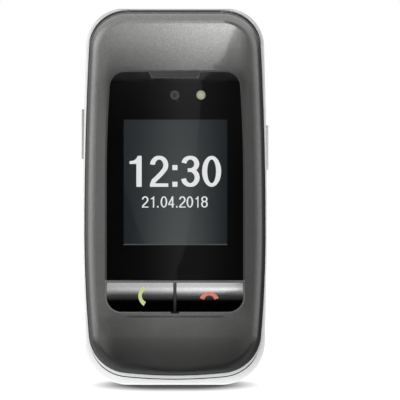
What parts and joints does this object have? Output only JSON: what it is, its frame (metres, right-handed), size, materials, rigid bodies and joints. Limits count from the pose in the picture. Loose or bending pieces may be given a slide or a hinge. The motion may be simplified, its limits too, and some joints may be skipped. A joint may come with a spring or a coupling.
{
  "type": "flip phone",
  "caption": "Folded clamshell phone with a glazed lid window and two lid keys, a keypad behind the lid, a round rear button and a lift-off back cover.",
  "frame": {"origin": "on the floor under the middle of the folded phone, which stands on its foot", "axes": "+X to the right seen from the lid side, +Y from the lid to the back cover, +Z from the foot to the hinge"},
  "size_m": [0.0534, 0.019, 0.1075],
  "materials": {
    "dark_lacquer": "metallic gloss lacquer",
    "white_gloss": "gloss",
    "lacquered_metal": "metallic gloss lacquer",
    "lacquered_alloy": "metallic gloss lacquer",
    "window_glass": "polished acrylic",
    "silver": "satin chrome",
    "signal_bar": "satin",
    "display": "gloss",
    "black_gloss": "gloss",
    "keypad": "satin",
    "side_key_dark": "satin",
    "side_key_grey": "satin",
    "circuit_board": "solder mask",
    "steel": "plain",
    "black_plastic": "matt",
    "light_alloy": "satin",
    "battery": "wrapped can",
    "rubber": "soft",
    "flex": "polyimide film",
    "dome_film": "film",
    "flash_lens": "frosted lens"
  },
  "bodies": {
    "base": {"base_front_shell": "white_gloss", "rear_chassis": "lacquered_metal", "hinge_trim_blocks": "white_gloss", "dome_sheet": "dome_film", "main_board": "circuit_board", "shield_cans": "steel", "sim_holder": "steel", "battery": "battery", "battery_connector": "black_plastic", "usb_socket": "steel", "microphone": "black_plastic", "loudspeaker": "black_plastic", "vibration_motor": "steel", "antenna_carrier": "black_plastic", "base_screws": "steel", "tact_switches": "black_plastic", "hinge_pins": "steel"},
    "lid": {"lid_outer_cover": "dark_lacquer", "lid_inner_shell": "white_gloss", "window_bezel": "silver", "signal_bar": "signal_bar", "window_glass": "window_glass", "display_chassis": "light_alloy", "lid_board": "circuit_board", "lid_key_switches": "dome_film", "outer_display": "display", "camera_module": "black_plastic", "flash_led": "flash_lens", "inner_display": "display", "inner_lens": "window_glass", "earpiece": "black_plastic", "lid_bumpers": "rubber", "lid_screws": "steel", "hinge_cartridge": "steel", "hinge_discs": "steel", "hinge_bush": "black_plastic", "display_flex": "flex"},
    "back_cover": {"back_cover": "lacquered_alloy"},
    "sos_button": {"sos_button": "black_gloss"},
    "volume_key": {"volume_key": "side_key_dark"},
    "side_key": {"side_key": "side_key_grey"},
    "call_key": {"call_key": "black_gloss"},
    "end_key": {"end_key": "black_gloss"},
    "key_0": {"key_0": "keypad"},
    "key_1": {"key_1": "keypad"},
    "key_2": {"key_2": "keypad"},
    "key_3": {"key_3": "keypad"},
    "key_4": {"key_4": "keypad"},
    "key_5": {"key_5": "keypad"},
    "key_6": {"key_6": "keypad"},
    "key_7": {"key_7": "keypad"},
    "key_8": {"key_8": "keypad"},
    "key_9": {"key_9": "keypad"},
    "key_hash": {"key_hash": "keypad"},
    "key_star": {"key_star": "keypad"},
    "soft_key_left": {"soft_key_left": "keypad"},
    "soft_key_right": {"soft_key_right": "keypad"},
    "nav_key": {"nav_key": "keypad"},
    "send_key": {"send_key": "keypad"},
    "power_key": {"power_key": "keypad"}
  },
  "joints": [
    {"name": "lid_hinge", "type": "hinge", "parent": "base", "child": "lid", "pos_m": [0, 0.0031, 0.1029], "axis": [-1, 0, 0], "range_deg": [0, 160]},
    {"name": "back_cover_off", "type": "slide", "parent": "base", "child": "back_cover", "axis": [0, 1, 0], "range_m": [0, 0.014]},
    {"name": "sos_button_press", "type": "slide", "parent": "base", "child": "sos_button", "axis": [0, -1, 0], "range_m": [0, 0.0004], "stiffness_N_per_m": 200, "springref_m": -0.001},
    {"name": "volume_key_press", "type": "slide", "parent": "base", "child": "volume_key", "axis": [1, 0, 0], "range_m": [0, 0.0004], "stiffness_N_per_m": 200, "springref_m": -0.001},
    {"name": "side_key_press", "type": "slide", "parent": "base", "child": "side_key", "axis": [-1, 0, 0], "range_m": [0, 0.0004], "stiffness_N_per_m": 200, "springref_m": -0.001},
    {"name": "call_key_press", "type": "slide", "parent": "lid", "child": "call_key", "axis": [0, 1, 0], "range_m": [0, 0.0003], "stiffness_N_per_m": 200, "springref_m": -0.001},
    {"name": "end_key_press", "type": "slide", "parent": "lid", "child": "end_key", "axis": [0, 1, 0], "range_m": [0, 0.0003], "stiffness_N_per_m": 200, "springref_m": -0.001},
    {"name": "key_0_press", "type": "slide", "parent": "base", "child": "key_0", "axis": [0, 1, 0], "range_m": [0, 0.0002], "stiffness_N_per_m": 200, "springref_m": -0.001},
    {"name": "key_1_press", "type": "slide", "parent": "base", "child": "key_1", "axis": [0, 1, 0], "range_m": [0, 0.0002], "stiffness_N_per_m": 200, "springref_m": -0.001},
    {"name": "key_2_press", "type": "slide", "parent": "base", "child": "key_2", "axis": [0, 1, 0], "range_m": [0, 0.0002], "stiffness_N_per_m": 200, "springref_m": -0.001},
    {"name": "key_3_press", "type": "slide", "parent": "base", "child": "key_3", "axis": [0, 1, 0], "range_m": [0, 0.0002], "stiffness_N_per_m": 200, "springref_m": -0.001},
    {"name": "key_4_press", "type": "slide", "parent": "base", "child": "key_4", "axis": [0, 1, 0], "range_m": [0, 0.0002], "stiffness_N_per_m": 200, "springref_m": -0.001},
    {"name": "key_5_press", "type": "slide", "parent": "base", "child": "key_5", "axis": [0, 1, 0], "range_m": [0, 0.0002], "stiffness_N_per_m": 200, "springref_m": -0.001},
    {"name": "key_6_press", "type": "slide", "parent": "base", "child": "key_6", "axis": [0, 1, 0], "range_m": [0, 0.0002], "stiffness_N_per_m": 200, "springref_m": -0.001},
    {"name": "key_7_press", "type": "slide", "parent": "base", "child": "key_7", "axis": [0, 1, 0], "range_m": [0, 0.0002], "stiffness_N_per_m": 200, "springref_m": -0.001},
    {"name": "key_8_press", "type": "slide", "parent": "base", "child": "key_8", "axis": [0, 1, 0], "range_m": [0, 0.0002], "stiffness_N_per_m": 200, "springref_m": -0.001},
    {"name": "key_9_press", "type": "slide", "parent": "base", "child": "key_9", "axis": [0, 1, 0], "range_m": [0, 0.0002], "stiffness_N_per_m": 200, "springref_m": -0.001},
    {"name": "key_hash_press", "type": "slide", "parent": "base", "child": "key_hash", "axis": [0, 1, 0], "range_m": [0, 0.0002], "stiffness_N_per_m": 200, "springref_m": -0.001},
    {"name": "key_star_press", "type": "slide", "parent": "base", "child": "key_star", "axis": [0, 1, 0], "range_m": [0, 0.0002], "stiffness_N_per_m": 200, "springref_m": -0.001},
    {"name": "soft_key_left_press", "type": "slide", "parent": "base", "child": "soft_key_left", "axis": [0, 1, 0], "range_m": [0, 0.0002], "stiffness_N_per_m": 200, "springref_m": -0.001},
    {"name": "soft_key_right_press", "type": "slide", "parent": "base", "child": "soft_key_right", "axis": [0, 1, 0], "range_m": [0, 0.0002], "stiffness_N_per_m": 200, "springref_m": -0.001},
    {"name": "nav_key_press", "type": "slide", "parent": "base", "child": "nav_key", "axis": [0, 1, 0], "range_m": [0, 0.0002], "stiffness_N_per_m": 200, "springref_m": -0.001},
    {"name": "send_key_press", "type": "slide", "parent": "base", "child": "send_key", "axis": [0, 1, 0], "range_m": [0, 0.0002], "stiffness_N_per_m": 200, "springref_m": -0.001},
    {"name": "power_key_press", "type": "slide", "parent": "base", "child": "power_key", "axis": [0, 1, 0], "range_m": [0, 0.0002], "stiffness_N_per_m": 200, "springref_m": -0.001}
  ]
}
